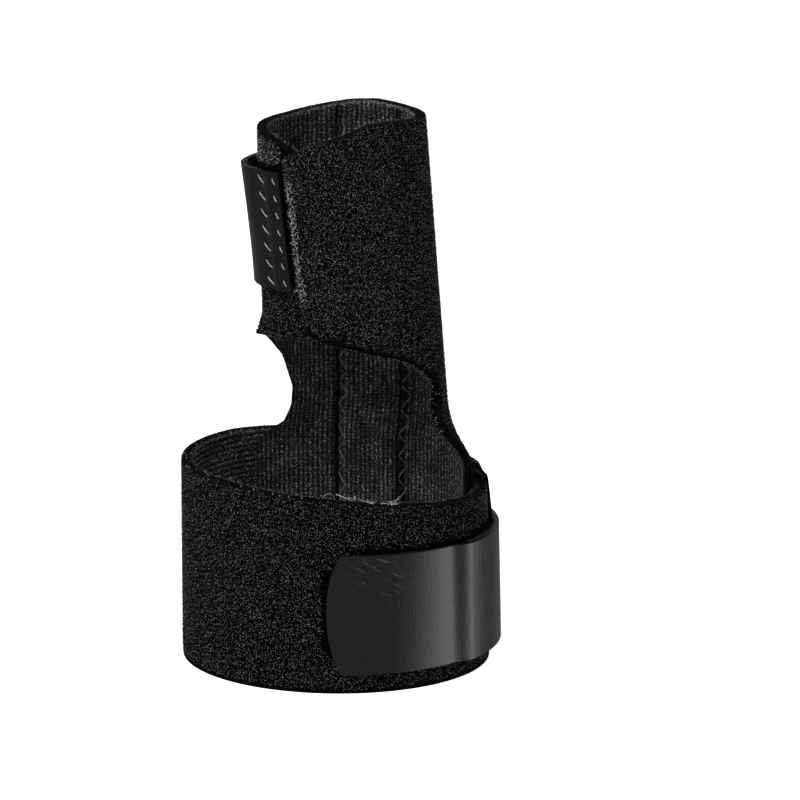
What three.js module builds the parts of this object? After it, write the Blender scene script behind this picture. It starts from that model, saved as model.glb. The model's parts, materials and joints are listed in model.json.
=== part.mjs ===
// Finger splint: a padded panel that wraps the finger, standing in a strap that loops round the hand.
// Millimetres, X to the right, Y to the back, Z up. The strap's lower edge lies on z = 0.
import * as THREE from 'three';

const { clamp, lerp, smoothstep } = THREE.MathUtils;

// Fabric, tape and fit
const fabricThickness = 2.2; // brushed pile, foam and ribbed lining together
const sewnThickness = 1.0; // fabric pressed flat under a sewn tape
const tapeThickness = 0.9;
const clearance = 0.3;

// Hand loop, measured outside at its lower edge
const strapWidth = 40;
const loopWidth = 63.2;
const loopDepth = 47.8;
const loopTaper = 1.33; // how much the loop narrows towards its upper edge
const loopLean = 0.37; // how far the upper edge leans to the left
const loopSkew = 0.8; // how far the right side comes forward of the middle at the lower edge
const loopTwist = 2.2; // and how much further at the upper edge
const tuckedLength = 8; // front end of the strap, behind the loop's right side
const tongueLength = 14; // sewn end of the strap, past the loop's right side
const layerStep = 16; // stretch in which the strap climbs over its own front end
const narrowStart = 6; // the strap narrows to its tongue between these, behind the right side
const narrowEnd = 1.5;

// Large tab
const handTabWidth = 25;
const handTabLength = 52;
const handTabStart = -7; // measured from the loop's right side towards the front
const handTabBase = 4.3;
const handTabRound = 5.6; // how far the rounded end stands out from its corners
const endRoundness = 0.8; // of both tabs' ends, where 1 is a half oval
const settleLength = 5; // stretch past the strap's end in which the tab comes down onto the loop

// Panel heights, from the floor up
const panelBase = 3;
const waistRise = 12; // from the strap's upper edge to the narrowest place
const flapRise = 19.4; // stretch in which the flaps widen to their full reach
const sleeveLength = 40.6; // from there to the rim
const rimFall = 10.5; // how far the rim drops at the flaps' ends

// Panel widths, measured along the fabric from the stay's line
const stayLine = 8.7; // X of the stay's line
const leftWaist = 20.4;
const rightWaist = 26;
const leftFlare = 29;
const rightFlare = 35;
const flapReach = 55;
const flapSlant = 1.6; // how far the flaps' ends draw back towards the rim
const tongueReach = 6; // pressed end of the right flap, past its full thickness
const cornerFlare = 1.6; // how far the left flap's lower corner stands out
const cornerStretch = 2; // stretch of fabric in which it does
const cornerFade = 0.7; // share of the flaps' rise from which it lies down again

// Stay channel on the ribbed face
const channelWidth = 15;
const channelRise = 1.2;
const grooveWidth = 2;
const grooveDepth = 0.7;
const channelBase = 8;
const channelInset = 8; // from the channel's top to the rim
const channelShoulder = 0.85; // share of its half width where its side begins to fall
const seamMargin = 2; // plain knit beside each groove, before the steps of the sides begin

// Sleeve, measured outside its first layer
const sleeveBaseWidth = 36;
const sleeveTopWidth = 33.5;
const sleeveDepth = 28;
const sleeveBaseCentre = 3.4;
const sleeveTopCentre = 1.5;
const sleeveBack = 20.8; // Y of the sleeve's back

// Small tab
const fingerTabWidth = 23.7;
const fingerTabLength = 32;
const fingerTabRaise = 6.8; // from the sleeve's base to the tab's lower edge
const fingerTabRound = 4.5;
const fingerTabBow = 1.7; // how far its upper edge stands off the sleeve at the left
const bowRise = 1.5; // power by which that bow grows up the tab
const fingerTabSettle = 0.4; // share of its free length in which it comes down onto the sleeve

// Places that follow from the sizes
const waistHeight = strapWidth + waistRise;
const sleeveBase = waistHeight + flapRise;
const splintHeight = sleeveBase + sleeveLength;
const collarBase = splintHeight - rimFall - fabricThickness;
const layerLift = fabricThickness + clearance;
const fingerTabBase = sleeveBase + fingerTabRaise;
const sewnLift = clearance + sewnThickness + clearance;
const lapStretch = 4 * layerLift; // stretch in which the right flap climbs over the left one

// Steps of the grids
const collarSteps = 5;
const sideSteps = 14;
const strapRoundSteps = 70;

// Upper edge of the strap. Turn is a share of the loop's girth from its right side towards the front,
// top a share of the strap's width.
const strapEdge = [
  { turn: -0.05, top: 0.92 },
  { turn: 0, top: 0.92 },
  { turn: 0.06, top: 0.93 },
  { turn: 0.14, top: 0.96 },
  { turn: 0.25, top: 1.0 },
  { turn: 0.38, top: 1.03 },
  { turn: 0.5, top: 1.03 },
  { turn: 0.62, top: 1.05 },
  { turn: 0.75, top: 1.03 },
  { turn: 0.9, top: 0.98 },
  { turn: 0.96, top: 0.93 },
];

// Side edges of the panel. Level runs 0 to 1 up the strap, 1 to 2 up to the waist and 2 to 3 up to the
// sleeve. Flares run from the waist's reach, 0, to the flare's, 1, and flaps from it to the flaps', 1.
const panelOutline = [
  { level: 0, leftFlare: 0.8, rightFlare: 0.8, leftFlap: 0, rightFlap: 0 },
  { level: 0.06, leftFlare: 0.95, rightFlare: 0.95, leftFlap: 0, rightFlap: 0 },
  { level: 0.15, leftFlare: 1, rightFlare: 1, leftFlap: 0, rightFlap: 0 },
  { level: 0.9, leftFlare: 1, rightFlare: 0.97, leftFlap: 0, rightFlap: 0 },
  { level: 0.98, leftFlare: 0.93, rightFlare: 0.9, leftFlap: 0, rightFlap: 0 },
  { level: 1.18, leftFlare: 0.55, rightFlare: 0.7, leftFlap: 0, rightFlap: 0 },
  { level: 1.31, leftFlare: 0.22, rightFlare: 0.62, leftFlap: 0, rightFlap: 0 },
  { level: 1.65, leftFlare: 0.04, rightFlare: 0.44, leftFlap: 0, rightFlap: 0 },
  { level: 2, leftFlare: 0, rightFlare: 0.2, leftFlap: 0, rightFlap: 0 },
  { level: 2.2, leftFlare: 0, rightFlare: 0, leftFlap: 0.04, rightFlap: 0 },
  { level: 2.28, leftFlare: 0, rightFlare: 0, leftFlap: 0.055, rightFlap: 0.03 },
  { level: 2.38, leftFlare: 0, rightFlare: 0, leftFlap: 0.08, rightFlap: 0.12 },
  { level: 2.54, leftFlare: 0, rightFlare: 0, leftFlap: 0.165, rightFlap: 0.25 },
  { level: 2.64, leftFlare: 0, rightFlare: 0, leftFlap: 0.23, rightFlap: 0.4 },
  { level: 2.72, leftFlare: 0, rightFlare: 0, leftFlap: 0.32, rightFlap: 0.55 },
  { level: 2.77, leftFlare: 0, rightFlare: 0, leftFlap: 0.39, rightFlap: 0.63 },
  { level: 2.81, leftFlare: 0, rightFlare: 0, leftFlap: 0.6, rightFlap: 0.72 },
  { level: 2.85, leftFlare: 0, rightFlare: 0, leftFlap: 0.73, rightFlap: 0.85 },
  { level: 2.93, leftFlare: 0, rightFlare: 0, leftFlap: 0.88, rightFlap: 0.95 },
  { level: 3, leftFlare: 0, rightFlare: 0, leftFlap: 1, rightFlap: 1 },
];

// Rim of the sleeve. Along is a share of the flaps' reach, fall a share of the rim's fall.
const rimOutline = [
  { along: -1, fall: 0.95 },
  { along: -0.86, fall: 0.67 },
  { along: -0.75, fall: 0.43 },
  { along: -0.65, fall: 0.33 },
  { along: -0.56, fall: 0.29 },
  { along: -0.36, fall: 0.24 },
  { along: -0.26, fall: 0.17 },
  { along: -0.1, fall: 0.05 },
  { along: 0, fall: 0.02 },
  { along: 0.15, fall: 0.08 },
  { along: 0.33, fall: 0.1 },
  { along: 0.5, fall: 0.04 },
  { along: 0.65, fall: 0.01 },
  { along: 0.76, fall: 0.22 },
  { along: 0.84, fall: 0.37 },
  { along: 0.94, fall: 0.62 },
  { along: 1, fall: 0.82 },
  { along: 1.12, fall: 1 },
];

// Value of a table's column at a place, on straight lines between its rows.
function fromTable(table, key, at, column) {
  let next = table.findIndex((row) => row[key] > at);
  if (next === -1) next = table.length - 1;
  const low = table[Math.max(next - 1, 0)];
  const high = table[next];
  const span = high[key] - low[key];
  const share = span > 0 ? clamp((at - low[key]) / span, 0, 1) : 0;
  return lerp(low[column], high[column], share);
}

// A closed oval as a track: along runs from the place at startX, and out moves off it to the outside.
// A forward track starts on the back half and runs to the right, then round the front.
function ovalTrack({ centreX, centreY, halfWidth, halfDepth, startX }) {
  const steps = 120;
  const startTurn = Math.asin(clamp((startX - centreX) / halfWidth, -1, 1));
  const place = (turn, out) => {
    const normal = new THREE.Vector2(Math.sin(turn) / halfWidth, Math.cos(turn) / halfDepth).normalize();
    return new THREE.Vector2(
      centreX + halfWidth * Math.sin(turn) + out * normal.x,
      centreY + halfDepth * Math.cos(turn) + out * normal.y
    );
  };
  const lengths = [0];
  for (let i = 1; i <= steps; i++) {
    const from = place(startTurn + (2 * Math.PI * (i - 1)) / steps, 0);
    const to = place(startTurn + (2 * Math.PI * i) / steps, 0);
    lengths.push(lengths[i - 1] + from.distanceTo(to));
  }
  const girth = lengths[steps];
  const at = (along, out) => {
    const laps = Math.floor(along / girth);
    const rest = along - laps * girth;
    const next = Math.max(1, lengths.findIndex((length) => length >= rest));
    const share = (rest - lengths[next - 1]) / (lengths[next] - lengths[next - 1]);
    return place(startTurn + (2 * Math.PI * (next - 1 + share)) / steps, out);
  };
  return { girth, at };
}

// Outer face of the loop's first layer at a height, as a track from a place on its back half.
function loopTrack(z, startX) {
  const rise = clamp(z / strapWidth, 0, 1);
  const track = ovalTrack({
    centreX: -loopLean * rise,
    centreY: 0,
    halfWidth: (loopWidth - loopTaper * rise) / 2,
    halfDepth: (loopDepth - loopTaper * rise) / 2,
    startX,
  });
  const at = (along, out) => {
    const point = track.at(along, out);
    point.y -= ((loopSkew + loopTwist * rise) * point.x * 2) / loopWidth;
    return point;
  };
  return { girth: track.girth, at };
}

const loopGirth = loopTrack(0, loopWidth).girth;

// Outer face of the sleeve's first layer at a height, as a track from the stay's line.
function sleeveTrack(z) {
  const rise = (z - sleeveBase) / sleeveLength;
  return ovalTrack({
    centreX: lerp(sleeveBaseCentre, sleeveTopCentre, rise),
    centreY: sleeveBack - sleeveDepth / 2,
    halfWidth: lerp(sleeveBaseWidth, sleeveTopWidth, rise) / 2,
    halfDepth: sleeveDepth / 2,
    startX: stayLine,
  });
}

// A closed wall between an outer and an inner face, each a grid of columns and rows. pointsAt gives
// both faces' points for a column and a row.
function wall(name, material, columns, rows, pointsAt) {
  const outer = [];
  const inner = [];
  for (let row = 0; row <= rows; row++) {
    for (let column = 0; column <= columns; column++) {
      const points = pointsAt(column, row);
      outer.push(points.outer);
      inner.push(points.inner);
    }
  }
  const index = [];
  const quad = (a, b, c, d) => index.push(a, c, b, a, d, c);
  const onOuter = (column, row) => row * (columns + 1) + column;
  const onInner = (column, row) => outer.length + onOuter(column, row);
  for (let row = 0; row < rows; row++) {
    for (let column = 0; column < columns; column++) {
      const next = column + 1;
      quad(onOuter(column, row), onOuter(next, row), onOuter(next, row + 1), onOuter(column, row + 1));
      quad(onInner(column, row), onInner(column, row + 1), onInner(next, row + 1), onInner(next, row));
    }
    quad(onInner(0, row), onOuter(0, row), onOuter(0, row + 1), onInner(0, row + 1));
    quad(onOuter(columns, row), onInner(columns, row), onInner(columns, row + 1), onOuter(columns, row + 1));
  }
  for (let column = 0; column < columns; column++) {
    quad(onInner(column, 0), onInner(column + 1, 0), onOuter(column + 1, 0), onOuter(column, 0));
    quad(onOuter(column, rows), onOuter(column + 1, rows), onInner(column + 1, rows), onInner(column, rows));
  }
  const geometry = new THREE.BufferGeometry().setFromPoints([...outer, ...inner]);
  geometry.setIndex(index);
  geometry.computeVertexNormals();
  const mesh = new THREE.Mesh(geometry, material);
  mesh.name = name;
  return mesh;
}

// Even steps from one value to another, both ends included.
function steps(from, to, count) {
  return Array.from({ length: count + 1 }, (_, i) => lerp(from, to, i / count));
}

// The given places in order, with even steps put in where two lie further apart than the longest step.
function stations(places, longest) {
  const sorted = [...places].sort((a, b) => a - b);
  const out = [sorted[0]];
  for (const place of sorted.slice(1)) {
    const from = out[out.length - 1];
    if (place - from < clearance / 2) continue;
    out.push(...steps(from, place, Math.ceil((place - from) / longest)).slice(1));
  }
  return out;
}

const onPlan = (point, z) => new THREE.Vector3(point.x, point.y, z);

const fabric = new THREE.MeshStandardMaterial({ color: 0x1b1b1c, roughness: 0.95, metalness: 0 });
const tape = new THREE.MeshStandardMaterial({ color: 0x2c2c2e, roughness: 0.4, metalness: 0 });

// Height of a level of the panel's outline.
function levelHeight(level) {
  if (level <= 1) return level * strapWidth;
  if (level <= 2) return lerp(strapWidth, waistHeight, level - 1);
  return lerp(waistHeight, sleeveBase, level - 2);
}

// How far the flaps' ends lie from the stay's line at a height.
function flapEnd(z) {
  return flapReach - flapSlant * clamp((z - sleeveBase) / sleeveLength, 0, 1);
}

// How far the panel reaches to each side of the stay's line at a height.
function panelReach(z) {
  const outline = panelOutline.map((row) => ({ ...row, z: levelHeight(row.level) }));
  const share = (column) => fromTable(outline, 'z', z, column);
  const reach = (waist, flare, side) =>
    waist + (flare - waist) * share(`${side}Flare`) + (flapEnd(z) - waist) * share(`${side}Flap`);
  const tongue = z > fingerTabBase + clearance ? tongueReach : 0;
  return {
    left: -reach(leftWaist, leftFlare, 'left'),
    right: reach(rightWaist, rightFlare, 'right') + tongue,
  };
}

function rimHeight(along) {
  return splintHeight - rimFall * fromTable(rimOutline, 'along', along / flapReach, 'fall');
}

// Heights of the panel's rows. Those above the collar's base stretch up to the rim.
function panelRows() {
  const heights = [
    panelBase,
    ...panelOutline.map((row) => levelHeight(row.level)).filter((z) => z > panelBase),
    fingerTabBase + clearance,
    fingerTabBase + 2 * clearance,
    ...steps(collarBase, splintHeight, collarSteps),
  ];
  return stations(heights, fingerTabRaise);
}

// Rise of the stay's channel above the ribbed face, and the seam grooves beside it.
function channelRelief(along, z) {
  const half = channelWidth / 2;
  const ends = smoothstep(z, channelBase, channelBase + channelWidth / 3) *
    (1 - smoothstep(z, splintHeight - channelInset - channelWidth / 3, splintHeight - channelInset));
  const side = Math.abs(along);
  if (side < half) return ends * channelRise * Math.sqrt(1 - (side / half) ** 4);
  const turn = (Math.PI * (side - half)) / grooveWidth;
  if (side < half + grooveWidth) return -ends * grooveDepth * Math.sin(turn);
  return 0;
}

function fingerPanel() {
  const rows = panelRows();
  const half = channelWidth / 2;
  const core = half + grooveWidth + seamMargin;
  const groove = [-half - grooveWidth, -half - grooveWidth / 2, -half];
  const middle = [-core, ...groove, -half * channelShoulder, -half / 2, 0];
  const middleColumns = [...middle, ...middle.slice(0, -1).reverse().map((along) => -along)];
  const columns = 2 * sideSteps + middleColumns.length - 1;

  return wall('finger_panel', fabric, columns, rows.length - 1, (column, row) => {
    const level = rows[row];
    const reach = panelReach(level);
    const across = [
      ...steps(reach.left, -core, sideSteps).slice(0, -1),
      ...middleColumns,
      ...steps(core, reach.right, sideSteps).slice(1),
    ];
    const along = across[column];
    const stretch = Math.max(0, level - collarBase) / (splintHeight - collarBase);
    const z = level > collarBase ? lerp(collarBase, rimHeight(along), stretch) : level;

    const sleeve = sleeveTrack(z);
    const overlap = sleeve.girth - flapReach - fabricThickness;
    const corner = cornerFlare * smoothstep(-along, leftFlare, leftFlare + cornerStretch) *
      (1 - smoothstep(z, waistHeight + cornerFade * flapRise, sleeveBase));
    const lift = layerLift * smoothstep(along, overlap - lapStretch, overlap) + corner;
    const end = flapEnd(z);
    const pressed = smoothstep(along, end - fabricThickness, end - clearance);
    const thickness = lerp(fabricThickness, sewnThickness, pressed);
    const outerLift = lift - (fabricThickness - thickness);
    const depth = thickness + channelRelief(along, z);

    const palm = loopTrack(z, stayLine);
    const share = smoothstep(z, strapWidth + clearance, waistHeight);
    const between = (out) => {
      const onPalm = palm.at(along, out - layerLift);
      return onPlan(onPalm.lerp(sleeve.at(along, out), share), z);
    };
    return { outer: between(outerLift), inner: between(outerLift - depth) };
  });
}

// A place on the loop, along it from its right side towards the front. Lengths are those at the lower
// edge, and the same length lies at the same side of the loop at every height.
function strapPlace(along, z, out) {
  const track = loopTrack(z, loopWidth);
  return onPlan(track.at((along * track.girth) / loopGirth, out), z);
}

function handStrap() {
  const girth = loopGirth;
  const meeting = girth - tuckedLength - fabricThickness;
  const pressedFrom = meeting - fabricThickness;
  const pressedTo = girth + handTabStart - 2 * clearance;
  const places = [
    -tuckedLength,
    meeting - layerStep,
    meeting,
    pressedFrom,
    pressedTo,
    girth - narrowStart,
    girth - narrowEnd,
    girth + tongueLength,
  ];
  const alongs = stations(places, girth / strapRoundSteps);
  const rows = 7;

  return wall('hand_strap', fabric, alongs.length - 1, rows, (column, row) => {
    const along = alongs[column];
    const narrowed = smoothstep(along, girth - narrowStart, girth - narrowEnd);
    const top = lerp(
      strapWidth * fromTable(strapEdge, 'turn', along / girth, 'top'),
      handTabBase + handTabWidth - clearance,
      narrowed
    );
    const bottom = lerp(0, handTabBase + clearance, narrowed);
    const z = lerp(bottom, top, row / rows);
    const pressed = smoothstep(along, pressedFrom, pressedTo);
    const thickness = lerp(fabricThickness, sewnThickness, pressed);
    const lift = layerLift * smoothstep(along, meeting - layerStep, meeting);
    const outerLift = lift - (fabricThickness - thickness);
    return {
      outer: strapPlace(along, z, outerLift),
      inner: strapPlace(along, z, outerLift - thickness),
    };
  });
}

// How far a tab's rounded end is drawn back at a share of its width.
function roundedEnd(share, round) {
  const off = 2 * share - 1;
  return round * (1 - Math.sqrt(Math.max(0, 1 - endRoundness * off * off)));
}

function handTab() {
  const columns = 42;
  const rows = 8;
  return wall('hand_tab', tape, columns, rows, (column, row) => {
    const share = row / rows;
    const z = handTabBase + handTabWidth * share;
    const end = handTabStart + handTabLength - roundedEnd(share, handTabRound);
    const along = lerp(handTabStart, end, column / columns);
    const settled = smoothstep(along, tongueLength + clearance, tongueLength + settleLength);
    const lift = lerp(sewnLift, clearance, settled);
    return {
      outer: strapPlace(along, z, lift + tapeThickness),
      inner: strapPlace(along, z, lift),
    };
  });
}

function fingerTab() {
  const columns = 36;
  const rows = 8;
  return wall('finger_tab', tape, columns, rows, (column, row) => {
    const share = row / rows;
    const z = fingerTabBase + fingerTabWidth * share;
    const start = flapEnd(z) + clearance;
    const end = start + fingerTabLength - roundedEnd(share, fingerTabRound);
    const along = lerp(start, end, column / columns);
    const free = clamp((along - start - tongueReach) / (fingerTabLength - tongueReach), 0, 1);
    const bow = fingerTabBow * share ** bowRise * Math.sin(Math.PI * Math.sqrt(free)) ** 2;
    const lift = lerp(sewnLift, clearance, smoothstep(free, 0, fingerTabSettle)) + bow;
    const track = sleeveTrack(z);
    return {
      outer: onPlan(track.at(along, lift + tapeThickness), z),
      inner: onPlan(track.at(along, lift), z),
    };
  });
}

const splint = new THREE.Group();
splint.add(fingerPanel(), handStrap(), handTab(), fingerTab());

// The origin stands on the floor, under the middle of the whole part's box.
const box = new THREE.Box3().setFromObject(splint);
splint.position.set(-(box.min.x + box.max.x) / 2, -(box.min.y + box.max.y) / 2, -box.min.z);

export default splint;
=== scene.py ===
"""Finger splint: a padded panel wraps the finger and stands in a strap that loops round the hand.

Sizes are in millimetres in the sizes' own frame, X to the right, Y to the back and Z up, and go to metres
in the row's frame when a mesh is made.
"""

import json
import math

import bpy
import numpy as np
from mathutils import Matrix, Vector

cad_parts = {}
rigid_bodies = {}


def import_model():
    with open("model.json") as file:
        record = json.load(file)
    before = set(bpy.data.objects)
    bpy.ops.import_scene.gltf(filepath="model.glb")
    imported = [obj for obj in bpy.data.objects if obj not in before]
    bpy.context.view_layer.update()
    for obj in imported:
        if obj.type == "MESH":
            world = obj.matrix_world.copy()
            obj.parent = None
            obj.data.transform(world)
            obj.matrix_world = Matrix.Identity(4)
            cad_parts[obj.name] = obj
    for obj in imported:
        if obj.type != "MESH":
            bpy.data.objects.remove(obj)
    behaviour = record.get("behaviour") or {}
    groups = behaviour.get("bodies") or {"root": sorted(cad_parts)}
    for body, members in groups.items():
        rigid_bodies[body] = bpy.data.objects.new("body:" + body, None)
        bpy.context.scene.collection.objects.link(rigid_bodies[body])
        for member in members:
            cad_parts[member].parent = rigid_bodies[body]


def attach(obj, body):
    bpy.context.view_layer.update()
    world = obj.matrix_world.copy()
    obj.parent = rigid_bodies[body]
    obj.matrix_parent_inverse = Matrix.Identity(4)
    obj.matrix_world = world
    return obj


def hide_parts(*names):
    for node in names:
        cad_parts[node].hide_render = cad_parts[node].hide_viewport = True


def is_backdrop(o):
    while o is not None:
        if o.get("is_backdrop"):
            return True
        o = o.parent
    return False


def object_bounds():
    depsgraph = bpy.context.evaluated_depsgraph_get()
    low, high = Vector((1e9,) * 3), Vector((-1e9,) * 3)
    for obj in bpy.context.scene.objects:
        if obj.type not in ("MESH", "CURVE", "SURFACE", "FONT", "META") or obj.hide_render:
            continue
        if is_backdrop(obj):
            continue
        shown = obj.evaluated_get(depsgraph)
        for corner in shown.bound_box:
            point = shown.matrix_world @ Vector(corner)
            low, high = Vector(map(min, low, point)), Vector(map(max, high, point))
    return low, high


bl_info = {
    "name": "Finger splint",
    "version": (1, 0, 0),
    "blender": (4, 5, 0),
    "location": "View3D > Sidebar > Splint",
    "description": "Builds a padded fabric finger splint on its packed CAD frame",
    "category": "Object",
}

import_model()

MM = 0.001
SHIFT = (-1.205, 0.575, 0.0)  # from the sizes' frame to the row's frame

# Fabric, tape and fit
FABRIC = 2.2
SEWN = 1.0
TAPE = 0.9
GAP = 0.3

# Hand loop
STRAP_WIDTH = 40
LOOP_WIDTH = 63.2
LOOP_DEPTH = 47.8
LOOP_TAPER = 1.33
LOOP_LEAN = 0.37
LOOP_SKEW = 0.8
LOOP_TWIST = 2.2
TUCKED = 8
TONGUE = 14
LAYER_STEP = 16
NARROW_START = 6
NARROW_END = 1.5

# Large tab
HAND_TAB_WIDTH = 25
HAND_TAB_LENGTH = 52
HAND_TAB_START = -7
HAND_TAB_BASE = 4.3
HAND_TAB_ROUND = 5.6
END_ROUNDNESS = 0.8
SETTLE = 5

# Panel
PANEL_BASE = 3
WAIST_RISE = 12
FLAP_RISE = 19.4
SLEEVE_LENGTH = 40.6
RIM_FALL = 10.5
STAY_LINE = 8.7
LEFT_WAIST = 20.4
RIGHT_WAIST = 26
LEFT_FLARE = 29
RIGHT_FLARE = 35
FLAP_REACH = 55
FLAP_SLANT = 1.6
TONGUE_REACH = 6
CORNER_FLARE = 1.6
CORNER_STRETCH = 2
CORNER_FADE = 0.7
TURNED_EDGE = 1.7  # how far the back of the left edge is turned under

# Stay channel
CHANNEL_WIDTH = 15
CHANNEL_RISE = 1.2
GROOVE_WIDTH = 2
GROOVE_DEPTH = 0.7
CHANNEL_BASE = 8
CHANNEL_INSET = 8
SEAM_MARGIN = 2

# Sleeve
SLEEVE_BASE_WIDTH = 36
SLEEVE_TOP_WIDTH = 33.5
SLEEVE_DEPTH = 28
SLEEVE_BASE_CENTRE = 3.4
SLEEVE_TOP_CENTRE = 1.5
SLEEVE_BACK = 20.8

# Small tab
FINGER_TAB_WIDTH = 23.7
FINGER_TAB_LENGTH = 32
FINGER_TAB_RAISE = 6.8
FINGER_TAB_ROUND = 4.5
FINGER_TAB_BOW = 1.7
BOW_RISE = 1.5
FINGER_TAB_SETTLE = 0.4
RIDGE = {"height": 0.3, "middle": 2.4, "spread": 0.7}
DENT = {"height": -0.2, "middle": 4.4, "spread": 0.8}

# Seams
SEAM_PITCH = 5.0
SEAM_WIDTH = 1.7
STITCH_PITCH = 3.38

# Steps of the grids
OVAL_STEPS = 120
PANEL_ROWS = 120
COLLAR_ROWS = 24
SIDE_COLUMNS = 64
SIDE_LENGTH = 40  # usual length of the cloth beside the channel
CORE_COLUMNS = 59
STRAP_ROWS = 46
STRAP_COLUMNS = 300
PRESSED_COLUMNS = 10
NARROW_COLUMNS = 16
TAB_ROWS = 30
HAND_TAB_COLUMNS = 160
FINGER_TAB_COLUMNS = 110
FABRIC_BORDER = 1
TAPE_BORDER = 0.6
SHARP = 0.02  # height of the step where the tongue begins

WAIST_HEIGHT = STRAP_WIDTH + WAIST_RISE
SLEEVE_BASE = WAIST_HEIGHT + FLAP_RISE
HEIGHT = SLEEVE_BASE + SLEEVE_LENGTH
COLLAR_BASE = HEIGHT - RIM_FALL - FABRIC
LAYER_LIFT = FABRIC + GAP
FINGER_TAB_BASE = SLEEVE_BASE + FINGER_TAB_RAISE
SEWN_LIFT = GAP + SEWN + GAP
LAP_STRETCH = 4 * LAYER_LIFT
UP = np.array([0.0, 0.0, 1.0])

# Upper edge of the strap: shares of the loop's girth and of the strap's width
STRAP_EDGE = [
    {"turn": -0.05, "top": 0.92},
    {"turn": 0, "top": 0.92},
    {"turn": 0.06, "top": 0.93},
    {"turn": 0.14, "top": 0.96},
    {"turn": 0.25, "top": 1.0},
    {"turn": 0.38, "top": 1.03},
    {"turn": 0.5, "top": 1.03},
    {"turn": 0.62, "top": 1.05},
    {"turn": 0.75, "top": 1.03},
    {"turn": 0.9, "top": 0.98},
    {"turn": 0.96, "top": 0.93},
]

# Side edges of the panel: level 0 to 1 up the strap, 1 to 2 to the waist and 2 to 3 to the sleeve
PANEL_OUTLINE = [
    {"level": 0, "left_flare": 0.8, "right_flare": 0.8, "left_flap": 0, "right_flap": 0},
    {"level": 0.06, "left_flare": 0.95, "right_flare": 0.95, "left_flap": 0, "right_flap": 0},
    {"level": 0.15, "left_flare": 1, "right_flare": 1, "left_flap": 0, "right_flap": 0},
    {"level": 0.9, "left_flare": 1, "right_flare": 0.97, "left_flap": 0, "right_flap": 0},
    {"level": 0.98, "left_flare": 0.93, "right_flare": 0.9, "left_flap": 0, "right_flap": 0},
    {"level": 1.18, "left_flare": 0.55, "right_flare": 0.7, "left_flap": 0, "right_flap": 0},
    {"level": 1.31, "left_flare": 0.22, "right_flare": 0.62, "left_flap": 0, "right_flap": 0},
    {"level": 1.65, "left_flare": 0.04, "right_flare": 0.44, "left_flap": 0, "right_flap": 0},
    {"level": 2, "left_flare": 0, "right_flare": 0.2, "left_flap": 0, "right_flap": 0},
    {"level": 2.2, "left_flare": 0, "right_flare": 0, "left_flap": 0.04, "right_flap": 0},
    {"level": 2.28, "left_flare": 0, "right_flare": 0, "left_flap": 0.055, "right_flap": 0.03},
    {"level": 2.38, "left_flare": 0, "right_flare": 0, "left_flap": 0.08, "right_flap": 0.12},
    {"level": 2.54, "left_flare": 0, "right_flare": 0, "left_flap": 0.165, "right_flap": 0.25},
    {"level": 2.64, "left_flare": 0, "right_flare": 0, "left_flap": 0.23, "right_flap": 0.4},
    {"level": 2.72, "left_flare": 0, "right_flare": 0, "left_flap": 0.32, "right_flap": 0.55},
    {"level": 2.77, "left_flare": 0, "right_flare": 0, "left_flap": 0.39, "right_flap": 0.63},
    {"level": 2.81, "left_flare": 0, "right_flare": 0, "left_flap": 0.6, "right_flap": 0.72},
    {"level": 2.85, "left_flare": 0, "right_flare": 0, "left_flap": 0.73, "right_flap": 0.85},
    {"level": 2.93, "left_flare": 0, "right_flare": 0, "left_flap": 0.88, "right_flap": 0.95},
    {"level": 3, "left_flare": 0, "right_flare": 0, "left_flap": 1, "right_flap": 1},
]

# Rim of the sleeve: shares of the flaps' reach and of the rim's fall
RIM_OUTLINE = [
    {"along": -1, "fall": 0.95},
    {"along": -0.86, "fall": 0.67},
    {"along": -0.75, "fall": 0.43},
    {"along": -0.65, "fall": 0.33},
    {"along": -0.56, "fall": 0.29},
    {"along": -0.36, "fall": 0.24},
    {"along": -0.26, "fall": 0.17},
    {"along": -0.1, "fall": 0.05},
    {"along": 0, "fall": 0.02},
    {"along": 0.15, "fall": 0.08},
    {"along": 0.33, "fall": 0.1},
    {"along": 0.5, "fall": 0.04},
    {"along": 0.65, "fall": 0.01},
    {"along": 0.76, "fall": 0.22},
    {"along": 0.84, "fall": 0.37},
    {"along": 0.94, "fall": 0.62},
    {"along": 1, "fall": 0.82},
    {"along": 1.12, "fall": 1},
]


def from_table(table, key, at, column):
    """Value of a table's column at a place, on straight lines between its rows."""
    return np.interp(at, [row[key] for row in table], [row[column] for row in table])


def smooth(value, low, high):
    """0 below low, 1 above high and a smooth step between."""
    t = np.clip((np.asarray(value, float) - low) / (high - low), 0, 1)
    return t * t * (3 - 2 * t)


def mix(a, b, share):
    return a + (b - a) * share


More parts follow.
